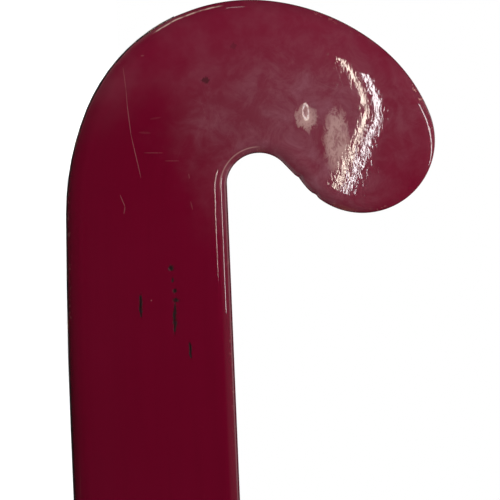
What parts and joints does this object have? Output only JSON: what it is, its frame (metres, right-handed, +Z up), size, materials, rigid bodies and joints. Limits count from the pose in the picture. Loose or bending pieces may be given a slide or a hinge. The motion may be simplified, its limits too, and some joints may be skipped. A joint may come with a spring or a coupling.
{
  "type": "wooden toboggan",
  "caption": "Wooden toboggan whose lacquered plank runners curl back into hand horns, joined by wedged crossbars under a slatted deck, with steel shoes and swinging tow rings.",
  "frame": {"origin": "on the ground, in the middle of the overall length and width", "axes": "+X forward towards the horns, +Y to the rider's left, +Z up"},
  "size_m": [1.1199, 0.345, 0.228],
  "materials": {
    "burgundy_lacquered_wood": "deep burgundy gloss lacquer, hand-worn and scuffed",
    "varnished_ash": "clear varnish",
    "dark_wedge_wood": "oiled",
    "shoe_steel": "bare steel polished by running",
    "screw_steel": "bright",
    "black_bracket_steel": "black enamel",
    "zinc_plated_steel": "dull zinc plate"
  },
  "bodies": {
    "sled": {"bracket_front_left": "black_bracket_steel", "bracket_front_right": "black_bracket_steel", "bracket_middle_left": "black_bracket_steel", "bracket_middle_right": "black_bracket_steel", "bracket_rear_left": "black_bracket_steel", "bracket_rear_right": "black_bracket_steel", "bracket_screws_front": "screw_steel", "bracket_screws_middle": "screw_steel", "bracket_screws_rear": "screw_steel", "crossbar_front": "varnished_ash", "crossbar_middle": "varnished_ash", "crossbar_rear": "varnished_ash", "eye_nuts": "zinc_plated_steel", "eye_washers": "zinc_plated_steel", "runner_left": "burgundy_lacquered_wood", "runner_right": "burgundy_lacquered_wood", "shoe_left": "shoe_steel", "shoe_right": "shoe_steel", "shoe_screws_left": "screw_steel", "shoe_screws_right": "screw_steel", "slat_1": "varnished_ash", "slat_2": "varnished_ash", "slat_3": "varnished_ash", "slat_4": "varnished_ash", "slat_5": "varnished_ash", "slat_6": "varnished_ash", "slat_7": "varnished_ash", "slat_screws_front": "screw_steel", "slat_screws_middle": "screw_steel", "slat_screws_rear": "screw_steel", "tenon_wedges_front": "dark_wedge_wood", "tenon_wedges_middle": "dark_wedge_wood", "tenon_wedges_rear": "dark_wedge_wood", "tow_eye_left": "zinc_plated_steel", "tow_eye_right": "zinc_plated_steel"},
    "left_ring": {"tow_ring_left": "zinc_plated_steel"},
    "right_ring": {"tow_ring_right": "zinc_plated_steel"}
  },
  "joints": [
    {"name": "left_ring_swing", "type": "hinge", "parent": "sled", "child": "left_ring", "pos_m": [0.2355, 0.075, 0.0815], "axis": [0, -1, 0], "range_deg": [-35, 140]},
    {"name": "right_ring_swing", "type": "hinge", "parent": "sled", "child": "right_ring", "pos_m": [0.2355, -0.075, 0.0815], "axis": [0, -1, 0], "range_deg": [-35, 140]}
  ]
}
